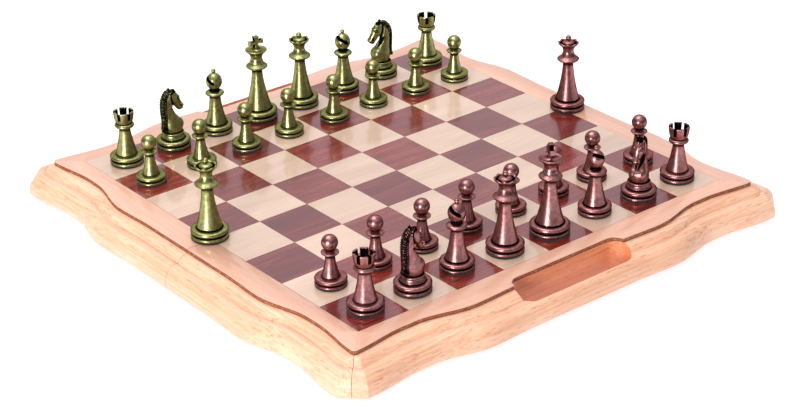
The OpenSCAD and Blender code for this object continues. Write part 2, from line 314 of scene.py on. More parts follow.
def slot_shade_mask(n):
    """One on the walls of the finger slots, where painted shade makes the wood darker and more orange."""
    xyz = place(n)
    from_middle = n.math("SUBTRACT", n.math("ABSOLUTE", xyz[1]), (SLOT_IN + SLOT_W / 2) * MM)
    squares = []
    for off, side in ((xyz[0], SLOT_L), (from_middle, SLOT_W)):
        beyond = n.math("SUBTRACT", n.math("ABSOLUTE", off), (side / 2 - SLOT_R) * MM)
        beyond = n.math("MAXIMUM", beyond, 0.0)
        squares.append(n.math("MULTIPLY", beyond, beyond))
    off = n.math("SQRT", n.math("ADD", *squares))
    return n.math("LESS_THAN", off, (SLOT_R + 0.1) * MM)


def joint_lines(n, tone):
    """Darkens the joint lines between the squares of the field."""
    xyz = place(n)
    lines = None
    for axis in (0, 1):
        cell = n.math("DIVIDE", xyz[axis], SQUARE * MM)
        off = n.math("ABSOLUTE", n.math("SUBTRACT", cell, n.math("ROUND", cell)))
        near = n.math("LESS_THAN", off, 0.004)
        lines = near if lines is None else n.math("MAXIMUM", lines, near)
    fold = n.math("LESS_THAN", n.math("ABSOLUTE", xyz[1]), 0.3 * MM)
    shade = n.math("MAXIMUM", n.math("MULTIPLY", lines, 0.5), n.math("MULTIPLY", fold, 0.85))
    return n.mix(shade, tone, (0.07, 0.03, 0.02))


def cell_shift(n):
    """Random shift and number for each square of the field, so that no two veneers match."""
    cell = n.vector("FLOOR", n.coords((1 / (SQUARE * MM),) * 3))
    white = n.add("ShaderNodeTexWhiteNoise", noise_dimensions="3D")
    n.link(n.vector("MULTIPLY", cell, (1, 1, 0)), white.inputs["Vector"])
    return n.vector("MULTIPLY", white.outputs["Color"], (CELL_SHIFT,) * 3), white.outputs["Value"]


def lacquer(n, roughness, coat):
    """Clear coat over a veneer."""
    n.set(Roughness=roughness, Coat_Weight=coat, Coat_Roughness=0.07, Coat_IOR=1.52)


def dark_veneer():
    """Red-brown walnut under gloss lacquer, streaked along the handle rails."""
    n = Nodes("dark_veneer")
    shift, chance = cell_shift(n)
    broad = n.noise(n.coords((7, 60, 1), shift), 1.4, 4, 0.6, 0.8)
    streaks = n.noise(n.coords((22, 620, 1), shift), 1.5, 5, 0.65, 0.5)
    pores = n.noise(n.coords((160, 2600, 1), shift), 1.0, 2, 0.5, 0.0)
    tone = n.ramp(broad, (0.28, (0.11, 0.010, 0.007)), (0.5, (0.21, 0.024, 0.014)),
                  (0.72, (0.32, 0.058, 0.034)))
    tone = n.mix(n.ramp(streaks, (0.40, 0.75), (0.60, 0.0)), tone, (0.085, 0.008, 0.007))
    tone = n.mix(n.ramp(pores, (0.34, 0.6), (0.44, 0.0)), tone, (0.03, 0.008, 0.006))
    lift = n.ramp(chance, (0.0, 0.75), (1.0, 1.35))
    tone = joint_lines(n, n.mix(1.0, tone, lift, "MULTIPLY"))
    n.set(Base_Color=tone, Specular_Tint=(1.0, 0.60, 0.70), Specular_IOR_Level=0.85)
    lacquer(n, 0.24, 0.45)
    n.bump(n.noise(n.coords((20, 180, 1), shift), 1.0, 2), 0.05, 0.0004)
    return n.material


def light_veneer():
    """Cream maple under gloss lacquer."""
    n = Nodes("light_veneer")
    shift, chance = cell_shift(n)
    broad = n.noise(n.coords((8, 40, 1), shift), 1.2, 3, 0.5, 0.7)
    streaks = n.noise(n.coords((26, 500, 1), shift), 1.3, 4, 0.6, 0.4)
    tone = n.ramp(broad, (0.3, (0.56, 0.39, 0.285)), (0.7, (0.68, 0.495, 0.375)))
    tone = n.mix(n.ramp(streaks, (0.35, 0.35), (0.6, 0.0)), tone, (0.50, 0.33, 0.23))
    tone = n.mix(1.0, tone, n.ramp(chance, (0.0, 0.93), (1.0, 1.05)), "MULTIPLY")
    n.set(Base_Color=joint_lines(n, tone))
    lacquer(n, 0.34, 0.9)
    n.bump(n.noise(n.coords((20, 180, 1), shift), 1.0, 2), 0.05, 0.0004)
    return n.material


def border_veneer():
    """Pinkish beech strips, each with its grain along its own side, mitred at the corners."""
    n = Nodes("border_veneer")
    xyz = place(n)
    beside = n.math("GREATER_THAN", n.math("ABSOLUTE", xyz[0]), n.math("ABSOLUTE", xyz[1]))

    def pick(front, side):
        return n.math("ADD", n.math("MULTIPLY", n.math("SUBTRACT", 1.0, beside), front),
                      n.math("MULTIPLY", beside, side))

    joined = n.add("ShaderNodeCombineXYZ")
    n.link(pick(xyz[0], xyz[1]), joined.inputs[0])
    n.link(pick(xyz[1], xyz[0]), joined.inputs[1])
    n.link(beside, joined.inputs[2])
    grain = joined.outputs[0]
    broad = n.noise(n.coords((4, 30, 7), source=grain), 1.5, 4, 0.55, 0.6)
    streaks = n.noise(n.coords((12, 520, 7), source=grain), 1.6, 5, 0.6, 0.3)
    flecks = n.noise(n.coords((150, 2200, 7), source=grain), 1.0, 2, 0.5, 0.2)
    tone = n.ramp(broad, (0.3, (0.64, 0.345, 0.23)), (0.7, (0.75, 0.445, 0.32)))
    tone = n.mix(n.ramp(streaks, (0.36, 0.5), (0.6, 0.0)), tone, (0.58, 0.28, 0.18))
    tone = n.mix(n.ramp(flecks, (0.31, 0.5), (0.40, 0.0)), tone, (0.50, 0.25, 0.17))
    n.set(Base_Color=tone)
    lacquer(n, 0.42, 0.6)
    n.bump(streaks, 0.08, 0.0002)
    return n.material


def fibreboard():
    """Brown hardboard edge with pale specks, darker along its top and bottom."""
    n = Nodes("fibreboard")
    height = place(n)[2]
    level = n.math("DIVIDE", n.math("SUBTRACT", height, Z_UNDER * MM), (PLATE_T - VENEER_T) * MM)
    layers = n.noise(n.coords((60, 60, 2600)), 1.0, 4, 0.7)
    specks = n.noise(n.coords((420, 420, 1300)), 1.0, 3, 0.7)
    tone = n.ramp(layers, (0.3, (0.15, 0.034, 0.012)), (0.5, (0.25, 0.068, 0.025)),
                  (0.72, (0.42, 0.155, 0.070)))
    tone = n.mix(n.ramp(specks, (0.52, 0.0), (0.62, 0.5)), tone, (0.55, 0.36, 0.26))
    # Darker towards the bottom and the top of the edge
    darker_bands = n.ramp(level, (0.04, 1.0), (0.28, 0.0), (0.80, 0.0), (0.97, 0.8))
    n.set(Base_Color=n.mix(darker_bands, tone, (0.115, 0.026, 0.012)), Roughness=0.7, Specular_IOR_Level=0.25)
    n.bump(specks, 0.6, 0.0004)
    return n.material


def felt(name, colour):
    """Short matted fibre."""
    n = Nodes(name)
    fibres = n.noise(n.coords(), 2600, 4, 0.75, 0.5)
    blotch = n.noise(n.coords(), 160, 3, 0.5)
    pale = tuple(min(1.0, c * 2.4 + 0.012) for c in colour)
    n.set(Base_Color=n.mix(n.math("MULTIPLY", fibres, blotch), colour, pale), Roughness=0.95,
          Sheen_Weight=0.25, Sheen_Roughness=0.5)
    n.bump(fibres, 0.8, 0.0004)
    return n.material


def plated(name, colour, dark):
    """Plated sheet metal with fine rolling marks."""
    n = Nodes(name)
    marks = n.noise(n.coords((60, 3000, 3000)), 1.0, 3, 0.6)
    stain = n.noise(n.coords(), 240, 4, 0.6)
    n.set(Base_Color=n.mix(n.ramp(stain, (0.45, 0.0), (0.7, 0.6)), colour, dark), Metallic=1.0,
          Roughness=n.ramp(marks, (0.3, 0.22), (0.7, 0.42)))
    n.bump(marks, 0.2, 0.0001)
    return n.material


def antique(name, colour, glint, patina):
    """Cast metal, plated, blackened in its hollows and rubbed bright on its high parts."""
    n = Nodes(name)
    stored = n.add("ShaderNodeAttribute", attribute_name="recess", attribute_type="GEOMETRY")
    cloud = n.noise(n.coords(), 420, 4, 0.65, 0.4)
    fine = n.noise(n.coords(), 3200, 3, 0.6)
    brushed = n.noise(n.coords((1, 1, 0.25)), 1400, 3, 0.6)
    mottled = n.mix(n.ramp(cloud, (0.35, 0.0), (0.68, 1.0)), colour, glint)
    ragged = n.math("ADD", stored.outputs["Fac"], n.math("MULTIPLY", n.math("SUBTRACT", cloud, 0.5), 0.22))
    black = n.ramp(ragged, (0.12, 0.0), (0.34, 0.35), (0.55, 0.85), (0.72, 1.0))
    rough = n.math("ADD", n.math("MULTIPLY", black, 0.22), n.math("MULTIPLY_ADD", brushed, 0.10, 0.28))
    n.set(Base_Color=n.mix(black, mottled, patina), Metallic=1.0, Roughness=rough,
          Specular_Tint=(0.22, 0.20, 0.18))
    n.bump(n.math("ADD", fine, brushed), 0.12, 0.00012)
    return n.material


# ---- Board ----

MOULD_ROUND_W = RAIL_OUT * 0.516
FOOT_ROUND = 4.5
MOULD_ROUND_H = CASE_H - 7.9 - FOOT_ROUND
# Degrees of the rounded back, which then drops straight to the rounded foot
BACK_ARC = 84.5
MITRE_GAP = 0.11
PLATE_CORNER_R = 2.9
PLATE_BEVEL = 0.18
RAIL_CREASE = 14


def moulding():
    """Section of the rail beyond the plate's edge: distance out, height below the playing surface."""
    fillet = [(0, -PLATE_T), (2.6, -PLATE_T - 0.5), (5.2, -PLATE_T - 2.0), (7.3, -PLATE_T - 4.1),
              (8.1, -PLATE_T - 5.1)]
    points = [tuple(row) for row in spline(fillet, 5)]
    points += [(8.3, -PLATE_T - 5.2), (8.5, -PLATE_T - 5.2), (8.9, -PLATE_T - 4.92)]
    for i in range(24):
        a = math.radians(BACK_ARC * i / 23)
        height = FOOT_ROUND + MOULD_ROUND_H * math.cos(a)
        points.append((RAIL_OUT - MOULD_ROUND_W * (1 - math.sin(a)), -CASE_H + height))
    for i in range(10):
        a = math.radians(90 * i / 9)
        height = FOOT_ROUND * (1 - math.sin(a))
        points.append((RAIL_OUT - FOOT_ROUND * (1 - math.cos(a)), -CASE_H + height))
    return points


def stations():
    """Places along half a side: position, edge distance, and the direction the section reaches in."""
    made = []
    for i in range(SIDE_STEPS + 1):
        t = (CORNER_O - CUT) * i / SIDE_STEPS
        made.append((t, edge(t), 0.0, 1.0))
    reach = math.tan(math.radians(22.5))
    made[-1] = (made[-1][0], made[-1][1], reach, 1.0)
    return made + [(FACET_MID, FACET_MID, math.sqrt(0.5), math.sqrt(0.5))]


def swept_rail(name, places):
    """Rail along +X that stands out towards +Y."""
    section = moulding()
    ring = len(section) + 2
    verts = []
    for t, o, dt, do in places:
        gap = MITRE_GAP if abs(dt) > 0.5 else 0.0
        x, y = t - math.copysign(gap, t), o + gap
        verts += [(x + d * dt, y + d * do, Z_TOP + z) for d, z in section]
        inner = t * INNER_W / FACET_MID
        verts += [(inner, INNER_W, Z_RAIL), (inner, INNER_W, Z_UNDER)]
    faces = []
    for i in range(len(places) - 1):
        for k in range(ring):
            a, b = i * ring + k, i * ring + (k + 1) % ring
            faces.append((a, a + ring, b + ring, b))
    last = (len(places) - 1) * ring
    faces += [tuple(range(ring)), tuple(range(last + ring - 1, last - 1, -1))]
    obj = new_object(name, verts, faces)
    tidy_normals(obj)
    return obj


def rounded_rectangle(length, width, radius, middle, arc):
    """Outline with round corners, centred on x = 0 and y = middle."""
    points = []
    cx, cy = length / 2 - radius, width / 2 - radius
    for sx, sy, start in ((1, 1, 0), (-1, 1, 90), (-1, -1, 180), (1, -1, 270)):
        for i in range(arc + 1):
            a = math.radians(start + 90 * i / arc)
            points.append((sx * cx + radius * math.cos(a), middle + sy * cy + radius * math.sin(a)))
    return points


def cut_slot(obj):
    """Cuts the finger slot through a rail or a plate."""
    outline = rounded_rectangle(SLOT_L, SLOT_W, SLOT_R, SLOT_IN + SLOT_W / 2, 10)
    boolean(obj, prism("slot_tool", outline, BELOW, ABOVE))


def plate_outline():
    """Outline of half the plate, from the fold line round to the fold line."""
    end = CORNER_O - PLATE_CORNER_R
    side = [(end * i / SIDE_STEPS, edge(end * i / SIDE_STEPS)) for i in range(SIDE_STEPS + 1)]
    right = [(o, max(t, SEAM_GAP)) for t, o in side]
    corner = [(end + PLATE_CORNER_R * math.cos(math.radians(10 * i)),
               end + PLATE_CORNER_R * math.sin(math.radians(10 * i))) for i in range(1, 9)]
    back = [(t, o) for t, o in reversed(side)]
    quarter = right + corner + back[:-1]
    return quarter + [(-x, y) for x, y in reversed(quarter + [back[-1]])]


def make_rails(half, wood_x, wood_y):
    """Handle rail with its finger slot, and the two side rails mitred to it."""
    places = stations()
    mirrored = [(-t, o, -dt, do) for t, o, dt, do in reversed(places[1:])]
    handle = swept_rail(half + "_handle_rail_wood", mirrored + places)
    cut_slot(handle)
    tidy_normals(handle)
    finish_piece(handle, half, wood_x, "handle_rail", RAIL_CREASE)
    open_end = [(max(t, SEAM_GAP), o, dt, do) for t, o, dt, do in places]
    for side, sign in (("right", 1), ("left", -1)):
        rail = swept_rail(f"{half}_{side}_rail_wood", open_end)
        swap = Matrix(((0, sign, 0, 0), (1, 0, 0, 0), (0, 0, 1, 0), (0, 0, 0, 1)))
        rail.data.transform(swap)
        tidy_normals(rail)
        finish_piece(rail, half, wood_y, side + "_rail", RAIL_CREASE)


def make_plate(half, board, veneer):
    """Fibreboard plate and the border veneer on it."""
    core = prism(half + "_panel_core", plate_outline(), Z_UNDER, Z_TOP - VENEER_T)
    cut_slot(core)
    finish_piece(core, half, board, "panel")
    strip = prism(half + "_border_strips", plate_outline(), Z_TOP - VENEER_T, Z_TOP)
    cut_slot(strip)
    boolean(strip, box_solid("field_tool", (-FIELD, -FIELD, BELOW), (FIELD, FIELD, ABOVE)))
    bevelled(strip, PLATE_BEVEL, 2, 50)
    finish_piece(strip, half, veneer, "border")


CLOTH_T, CLOTH_CORNER_R = 0.9, 3.0
# Room between the cloth and the wood, and how far its edge stays inside the rails' underside
CLOTH_GAP, CLOTH_EDGE = 0.05, 1.5


def make_lining(half, cloth):
    """Thin felt glued to the plate's underside and the tray's walls, with rounded inner corners."""
    lo, hi = SEAM_W + CLOTH_GAP, INNER_W - CLOTH_GAP
    shell = box_solid(half + "_tray_felt", (-hi, lo, Z_RAIL + CLOTH_EDGE), (hi, hi, Z_UNDER - CLOTH_GAP))
    inner = rounded_rectangle(2 * (INNER_W - CLOTH_T), INNER_W - SEAM_W - 2 * CLOTH_T, CLOTH_CORNER_R,
                              (INNER_W + SEAM_W) / 2, 8)
    boolean(shell, prism("tray_tool", inner, BELOW, Z_UNDER - CLOTH_GAP - CLOTH_T))
    bevelled(shell, 0.3, 2, 60)
    finish_piece(shell, half, cloth)


# ---- Turned men ----

FELT_T = 1.2
# Radius of each base, the stem's share of it at the foot, and how black the ring round the stem is
RADII = {"king": 13.8, "queen": 13.0, "bishop": 11.7, "knight": 12.6, "rook": 12.2, "pawn": 10.8}
NECKS = {"king": 0.70, "queen": 0.67, "bishop": 0.67, "knight": 0.67, "rook": 0.62, "pawn": 0.55}
RINGS = {"king": 1.0, "queen": 1.0, "bishop": 1.0, "knight": 1.0, "rook": 0.5, "pawn": 0.5}
# Radius of the base that the foot's heights are drawn for
DRAWN_R = 13
CROSS_Z, CROSS_DEEP = 56.5, 1.75
BISHOP_CUT_Z, BISHOP_CUT_TILT, BISHOP_CUT_T = 42.6, math.radians(30), 2.2
CRENEL_W, CRENEL_Z = 2.2, 35.0
CRENEL_TURNS = [math.radians(turn) for turn in (0, 60, 120)]


def inked(points, ink=0.0):
    """Profile points, each with how much black patina it holds."""
    return [(r, z, ink) for r, z in points]


def arc_points(r, z, across, high, a0, a1, steps):
    """Points on an ellipse's arc, never left of the axis."""
    made = []
    for i in range(steps + 1):
        a = math.radians(a0 + (a1 - a0) * i / steps)
        made.append((max(0.0, r + across * math.cos(a)), z + high * math.sin(a)))
    return made


def foot(kind):
    """Foot that every man has: ring, black groove, torus and the blackened recess round the stem."""
    r, neck, ring = RADII[kind], NECKS[kind], RINGS[kind]
    k = r / DRAWN_R
    return (inked([(0, FELT_T), (0.94 * r, FELT_T), (0.985 * r, FELT_T + 0.05)], 0.9)
            + inked([(0.998 * r, 1.75 * k)], 0.3)
            + inked(arc_points(r - 0.9 * k, 2.4 * k, 0.9 * k, 0.95 * k, -20, 80, 4))
            + inked([(0.915 * r, 3.4 * k), (0.885 * r, 3.6 * k), (0.88 * r, 4.1 * k),
                     (0.885 * r, 4.5 * k), (0.905 * r, 4.7 * k)], 1.0)
            + inked(arc_points(r - 2.05 * k, 6.1 * k, 2.1 * k, 1.75 * k, -46, 88, 6))
            + inked([((neck + 0.07) * r, 7.85 * k)])
            + inked([((neck + 0.04) * r, 7.7 * k), ((neck + 0.012) * r, 7.6 * k),
                     ((neck - 0.012) * r, 7.65 * k), ((neck - 0.015) * r, 8.0 * k),
                     ((neck - 0.012) * r, (8.0 + 0.5 * ring) * k)], ring))


def stem(kind, top_r, top_z, bend=1.6):
    """Trumpet-shaped stem, with a thin black line under the collar."""
    r = NECKS[kind] * RADII[kind]
    low = (8.35 + 0.5 * RINGS[kind]) * RADII[kind] / DRAWN_R
    rows = [(top_r + (r - top_r) * (1 - i / 9) ** bend, low + (top_z - low) * i / 9) for i in range(10)]
    return inked([(r, low - 0.2)]) + inked(rows[:-1]) + inked(rows[-1:], 0.7)


def bead(z, b, a0, a1, steps=7):
    """Ball on the axis."""
    return inked(arc_points(0, z, b, b, a0, a1, steps))


def spool(z, collar, waist, cup):
    """Collar, waist and flaring cup under a crown."""
    return (inked([(0.46 * collar, z + 0.1), (0.52 * collar, z + 0.5)], 0.8)
            + inked([(0.72 * collar, z + 1.0), (0.94 * collar, z + 2.0), (collar, z + 2.8),
                     (0.985 * collar, z + 3.3), (0.84 * collar, z + 4.2), (0.66 * collar, z + 5.4),
                     (1.18 * waist, z + 7.0), (waist, z + 8.6), (waist, z + 10), (1.12 * waist, z + 11.5),
                     (0.70 * cup, z + 13.2), (0.88 * cup, z + 14.4), (0.97 * cup, z + 15.1),
                     (cup, z + 15.6), (0.985 * cup, z + 16.1), (0.93 * cup, z + 16.35)]))


def king_profile():
    return (foot("king") + stem("king", 3.9, 38.9) + spool(39.2, 8.1, 4.25, 8.15)
            + inked([(7.1, 55.35), (6.2, 55.0), (4.6, 54.95), (3.4, 55.4)])
            + inked([(2.7, 56.1), (2.2, 56.9), (1.9, 57.4), (0, 57.6)], 0.5))


def queen_profile():
    return (foot("queen") + stem("queen", 3.9, 36.9) + spool(37.2, 8.3, 3.95, 7.65)
            + inked([(6.6, 53.2)]) + inked([(5.9, 52.5), (5.3, 52.0), (4.9, 52.0), (4.75, 52.6)], 1.0)
            + inked([(4.55, 53.4), (3.7, 54.2), (2.4, 54.7), (1.6, 54.95)]) + inked([(1.35, 55.2)], 0.8)
            + bead(56.7, 2.05, -40, 90))


def bishop_profile():
    return (foot("bishop") + stem("bishop", 4.1, 28.4)
            + inked([(4.3, 28.9)], 0.7)
            + inked([(5.2, 29.3), (6.5, 30.0), (6.95, 30.8), (6.9, 31.5), (5.8, 32.3), (4.6, 32.7)])
            + inked([(3.6, 33.0), (3.2, 33.5), (3.2, 34.2), (3.7, 34.9)], 1.0)
            + inked([(4.7, 36.0), (5.55, 37.7), (5.95, 39.7), (5.9, 41.4), (5.3, 43.2), (4.1, 44.9),
                     (2.7, 46.1), (1.5, 46.7)]) + inked([(1.1, 46.95)], 0.3) + bead(48.4, 1.65, -45, 90))


def rook_profile():
    return (foot("rook") + stem("rook", 3.95, 26.9, 1.3)
            + inked([(4.2, 27.5)], 0.4)
            + inked([(5.2, 28.0), (6.4, 28.5), (7.0, 29.3), (7.05, 30.0), (6.7, 30.7), (6.2, 31.1)])
            + inked([(5.85, 31.4), (5.8, 31.8)], 0.8)
            + inked([(6.1, 32.7), (6.6, 34.2), (7.0, 35.8), (7.25, 38.0), (7.45, 39.8), (7.4, 40.25),
                     (7.25, 40.4), (6.0, 40.4), (5.85, 40.25)])
            + inked([(5.65, 37.6)], 0.85) + inked([(5.45, 35.4), (5.2, 34.8), (0, 34.8)], 1.0))


def pawn_profile():
    return (foot("pawn") + stem("pawn", 3.2, 20.9)
            + inked([(3.3, 21.3)], 0.6)
            + inked([(3.9, 21.8), (5.1, 22.5), (5.85, 23.2), (6.0, 23.7), (5.7, 24.1), (4.4, 24.5),
                     (3.4, 24.9)])
            + inked([(2.75, 25.3), (2.8, 25.6)], 0.9) + bead(30.5, 5.5, -58, 90, 12))


def rounded_profile(points, passes=2, gap=0.11):
    """Cuts the corners of a profile until it runs smooth, then thins it out."""
    for _ in range(passes):
        cut = [points[0]]
        for a, b in zip(points, points[1:]):
            for share in (0.75, 0.25):
                cut.append(tuple(share * u + (1 - share) * v for u, v in zip(a, b)))
        points = cut + [points[-1]]
    kept = [points[0]]
    for point in points[1:-1]:
        if math.hypot(point[0] - kept[-1][0], point[1] - kept[-1][1]) > gap:
            kept.append(point)
    return kept + [points[-1]]


def lathe(name, profile, around=96, wobble=None):
    """Turns a profile that starts and ends on the axis; wobble may shift a point by its angle."""
    middle = [p for p in profile if p[0] > 1e-4]
    verts = [(0, 0, profile[0][1])]
    for j in range(around):
        a = 2 * math.pi * j / around
        for r, z, *_ in middle:
            r1, z1 = wobble(r, z, a) if wobble else (r, z)
            verts.append((r1 * math.cos(a), r1 * math.sin(a), z1))
    verts.append((0, 0, profile[-1][1]))
    m, top = len(middle), len(verts) - 1
    faces = []
    for j in range(around):
        a, b = 1 + j * m, 1 + (j + 1) % around * m
        faces.append((0, b, a))
        faces += [(a + i, b + i, b + i + 1, a + i + 1) for i in range(m - 1)]
        faces.append((a + m - 1, b + m - 1, top))
    obj = new_object(name, verts, faces)
    tidy_normals(obj)
    return obj


def crown_wobble(r, z, a):
    """Eight soft points round a queen's crown."""
    weight = smooth((z - 50.6) / 2.2) * smooth((r - 4.9) / 1.6)
    wave = math.cos(8 * a)
    return r + 0.2 * weight * wave, z + 0.38 * weight * wave


def cross():
    """Stout cross with arms that widen outwards, standing in the XZ plane."""
    half = [(2.3, 0), (1.5, 2.0), (1.4, 3.3), (1.7, 3.55), (3.4, 3.3), (5.8, 2.6), (5.8, 6.2), (3.4, 5.5),
            (1.7, 5.25), (1.4, 5.5), (1.55, 7.0), (2.2, 9.0)]
    outline = half + [(-x, z) for x, z in reversed(half)]
    obj = prism("cross", outline, -CROSS_DEEP, CROSS_DEEP)
    bevelled(obj, 0.35, 3, 25)
    upright = Matrix.Rotation(math.radians(90), 4, "X")
    obj.data.transform(Matrix.Translation((0, 0, CROSS_Z * MM)) @ upright)
    return obj


def profile_ink(profile):
    """Patina of a turned man at a point, from the nearest place on its profile."""
    rows = np.array([(r, z) for r, z, _ in profile])
    inks = [ink for *_, ink in profile]

    def ink_at(p, normal):
        nearest = np.argmin(((rows - (math.hypot(p.x, p.y), p.z)) ** 2).sum(1))
        return inks[nearest]
    return ink_at


def turned_man(kind, points, around=96, wobble=None):
    """Turned casting with smooth curves, and the patina at a point on it."""
    profile = rounded_profile(points)
    return lathe(kind, profile, around, wobble), profile_ink(profile)


def king_solid():
    obj, turned = turned_man("king", king_profile())

    def ink(p, normal):
        if p.z < CROSS_Z + 0.8:
            return turned(p, normal)
        return 0.85 if abs(normal.y) < 0.4 and abs(p.x) < 5.6 and abs(normal.z) < 0.97 else 0.0
    return boolean(obj, cross(), "UNION"), ink


def queen_solid():
    return turned_man("queen", queen_profile(), 112, crown_wobble)


def bishop_solid():
    obj, turned = turned_man("bishop", bishop_profile())
    tool = box_solid("cut_tool", (-4.4, -9, -BISHOP_CUT_T / 2), (9, 9, BISHOP_CUT_T / 2))
    lift = Matrix.Translation((0, 0, BISHOP_CUT_Z * MM))
    tool.data.transform(lift @ Matrix.Rotation(-BISHOP_CUT_TILT, 4, "Y"))

    def ink(p, normal):
        off = abs((p.z - BISHOP_CUT_Z) * math.cos(BISHOP_CUT_TILT) - p.x * math.sin(BISHOP_CUT_TILT))
        return 1.0 if off < BISHOP_CUT_T / 2 + 0.06 and p.x > -4.5 and p.z > 36 else turned(p, normal)
    return boolean(obj, tool), ink


def rook_solid():
    obj, turned = turned_man("rook", rook_profile())
    for turn in CRENEL_TURNS:
        tool = box_solid("crenel_tool", (-9, -CRENEL_W / 2, CRENEL_Z), (9, CRENEL_W / 2, 46))
        tool.data.transform(Matrix.Rotation(turn, 4, "Z"))
        boolean(obj, tool)

    def ink(p, normal):
        if p.z < CRENEL_Z - 0.05:
            return turned(p, normal)
        off = min(abs(p.x * math.sin(turn) - p.y * math.cos(turn)) for turn in CRENEL_TURNS)
        inside = 0.8 if math.hypot(p.x, p.y) < 5.9 and p.z < 40.2 else 0.0
        return 1.0 if off < CRENEL_W / 2 + 0.04 or p.z < CRENEL_Z + 0.4 and inside else inside
    return obj, ink


def pawn_solid():
    return turned_man("pawn", pawn_profile(), 88)


# ---- Knight, facing +X ----

def loft(name, sections, around=28, power=2.0, bumps=None):
    """Closed skin over superellipses; each is (x, z, half depth, half width, tilt in degrees)."""
    verts, faces = [], []
    for i, (x, z, deep, wide, tilt) in enumerate(sections):
        t = math.radians(tilt)
        for j in range(around):
            a = 2 * math.pi * j / around
            c, s = math.cos(a), math.sin(a)
            u = deep * math.copysign(abs(c) ** (2 / power), c)
            v = wide * math.copysign(abs(s) ** (2 / power), s)
            if bumps:
                k = bumps(i / (len(sections) - 1), v / max(wide, 1e-6), c)
                u, v = u * k, v * k
            verts.append((x + u * math.cos(t), v, z + u * math.sin(t)))
    for i in range(len(sections) - 1):
        for j in range(around):
            a, b = i * around + j, i * around + (j + 1) % around
            faces.append((a, b, b + around, a + around))
    last = (len(sections) - 1) * around
    faces += [tuple(range(around - 1, -1, -1)), tuple(range(last, last + around))]
    obj = new_object(name, verts, faces)
    tidy_normals(obj)
    return obj


def spline(points, steps=4):
    """Smooth run through rows of numbers."""
    rows = np.array(points, float)
    padded = np.vstack([2 * rows[0] - rows[1], rows, 2 * rows[-1] - rows[-2]])
    made = []
    for i in range(1, len(padded) - 2):
        p0, p1, p2, p3 = padded[i - 1:i + 3]
        for s in range(steps):
            t = s / steps
            made.append(0.5 * (2 * p1 + (p2 - p0) * t + (2 * p0 - 5 * p1 + 4 * p2 - p3) * t * t
                               + (3 * p1 - p0 - 3 * p2 + p3) * t ** 3))
    return made + [rows[-1]]


def blob(name, centre, size):
    """Ellipsoid that the horse's skin is later drawn over."""
    ball = bmesh.new()
    bmesh.ops.create_icosphere(ball, subdivisions=4, radius=1)
    verts = [tuple(centre[i] + v.co[i] * size[i] for i in range(3)) for v in ball.verts]
    faces = [tuple(v.index for v in f.verts) for f in ball.faces]
    ball.free()
    return new_object(name, verts, faces)


def join(objects):
    """Puts closed shells into one object."""
    verts, faces = [], []
    for obj in objects:
        start = len(verts)
        verts += [tuple(v.co) for v in obj.data.vertices]
        faces += [tuple(start + i for i in p.vertices) for p in obj.data.polygons]
        bpy.data.objects.remove(obj)
    return new_object("joined", verts, faces, 1.0)


# Sections: x, z, half depth, half width, tilt in degrees
NECK = [(0.2, 12.4, 6.1, 6.2, 0), (0.3, 14.0, 6.7, 6.5, 0), (0.3, 16.4, 7.4, 6.6, 0),
        (0.3, 19.0, 7.5, 6.3, 0), (-0.1, 21.6, 7.0, 5.7, -3), (-1.1, 24.4, 6.0, 4.9, -5),
        (-2.3, 27.6, 5.2, 4.2, -4), (-3.1, 31.2, 4.8, 3.7, 0), (-3.4, 35.0, 4.8, 3.4, 6),
        (-3.3, 38.6, 5.0, 3.2, 16), (-2.5, 41.6, 4.9, 3.0, 34), (-1.2, 43.6, 4.0, 2.5, 48),
        (0.7, 44.9, 1.5, 1.4, 60)]
HEAD = [(-0.7, 43.9, 2.2, 2.1, 40), (0.7, 42.0, 3.6, 2.9, 38), (2.3, 39.5, 4.3, 3.4, 37),
        (3.8, 37.0, 4.1, 3.3, 36), (5.2, 34.7, 3.5, 2.9, 36), (6.6, 32.6, 3.1, 2.8, 38),
        (7.8, 30.9, 3.1, 2.8, 40), (8.7, 29.8, 2.8, 2.7, 40), (9.3, 29.1, 1.9, 1.9, 40)]
# Line of the mane's crest: x, z
MANE = [(-1.2, 45.9), (-3.9, 44.9), (-6.2, 42.4), (-7.6, 39.1), (-8.2, 35.2), (-8.3, 31.0), (-8.1, 27.0),
        (-7.9, 23.0), (-8.0, 19.4), (-8.7, 16.6), (-9.8, 14.8)]
MANE_LOCKS = 24
# Groove between jaw and neck: x, z, half width
JAW_GROOVE = [(-1.2, 43.6, 0.5), (-1.2, 41.0, 0.75), (-0.9, 38.4, 0.8), (-0.2, 36.0, 0.9),
              (1.0, 33.8, 1.1), (2.2, 32.0, 1.0)]
# Height where the horse leaves its foot, and how far it is squashed down onto it
HORSE_FOOT, HORSE_SQUASH = 12.8, 0.95


MANE_LINE = [tuple(row) for row in spline(MANE, 14)]


def lock_wave(s, across):
    """Ridges and gaps of the combed locks, -1 to 1, at a share s of the mane's length."""
    return math.sin(2 * math.pi * (MANE_LOCKS * s - 0.55 * across))


def mane_solid():
    """Thick strip of combed locks down the back of the neck, ending in a flick."""
    rows = spline(MANE, 14)
    sections = []
    for i, (x, z) in enumerate(rows):
        s = i / (len(rows) - 1)
        ahead = rows[min(i + 1, len(rows) - 1)] - rows[max(i - 1, 0)]
        tilt = math.degrees(math.atan2(ahead[1], ahead[0])) - 90
        end = min(1.0, 14 * s + 0.3) * min(1.0, 9 * (1 - s) + 0.12)
        sections.append((x, z, 1.35 * end, (2.5 - 0.7 * s) * end, tilt))

    def locks(s, across, side):
        return 1 + 0.15 * lock_wave(s, abs(across))
    return loft("mane", sections, 36, 2.4, locks)


